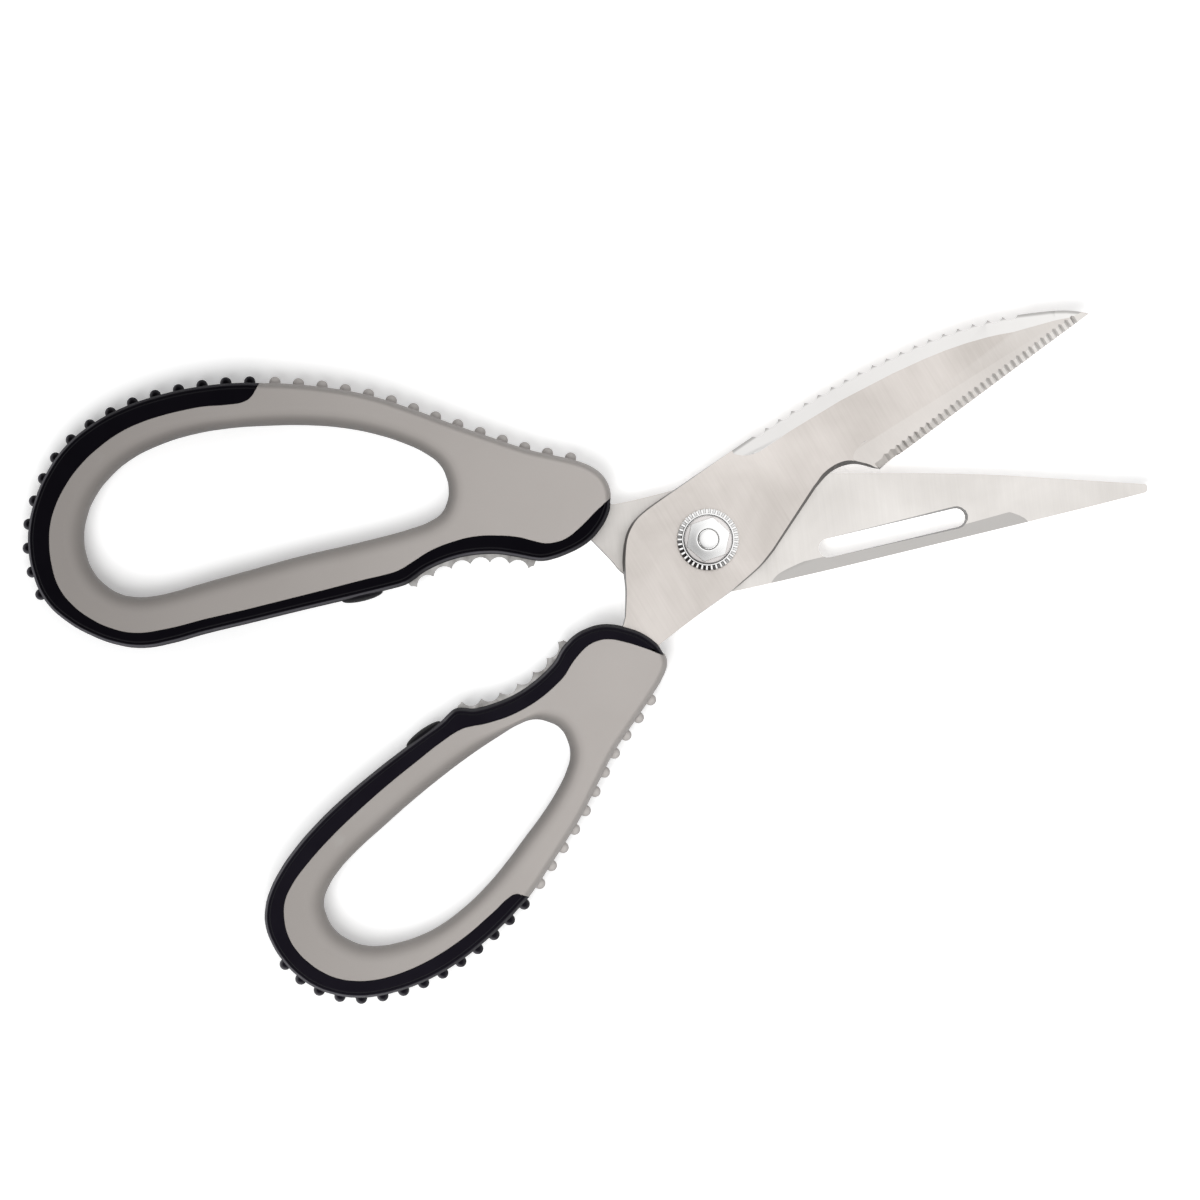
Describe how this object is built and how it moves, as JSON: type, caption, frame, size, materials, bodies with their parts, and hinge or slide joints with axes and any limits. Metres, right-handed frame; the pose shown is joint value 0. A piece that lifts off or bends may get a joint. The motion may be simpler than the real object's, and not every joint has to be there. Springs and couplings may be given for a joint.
{
  "type": "game shears",
  "caption": "Heavy kitchen shears with a scaler-backed serrated blade, a slotted blade, soft-rimmed loop handles with grip nubs and a toothed cracker gap near the pivot.",
  "frame": {"origin": "on the pivot axis, at the flat rear face of the bolt head, level with the rear faces of the handles", "axes": "+X along the length towards the blade tips, +Z along the pivot axis towards the nut, +Y completes the frame on the side of the large loop"},
  "size_m": [0.2252, 0.1388, 0.0143],
  "materials": {
    "blade_steel": "satin, fine grain across the blade",
    "jaw_steel": "satin",
    "pivot_steel": "bright plated",
    "grey_plastic": "fine moulded grain",
    "soft_trim": "soft satin",
    "bumper_rubber": "matt"
  },
  "bodies": {
    "slotted_half": {"slotted_blade": "blade_steel", "pivot_bolt": "pivot_steel", "toothed_washer": "pivot_steel", "disc_spring": "pivot_steel", "hex_nut": "pivot_steel", "finger_handle_core": "grey_plastic", "finger_handle_trim": "soft_trim", "finger_handle_bumper": "bumper_rubber", "finger_jaw": "jaw_steel"},
    "serrated_half": {"serrated_blade": "blade_steel", "thumb_handle_core": "grey_plastic", "thumb_handle_trim": "soft_trim", "thumb_handle_bumper": "bumper_rubber", "thumb_jaw": "jaw_steel"}
  },
  "joints": [
    {"name": "pivot_hinge", "type": "hinge", "parent": "slotted_half", "child": "serrated_half", "pos_m": [0, 0, 0], "axis": [0, 0, 1], "range_deg": [-23.2, 80]}
  ]
}
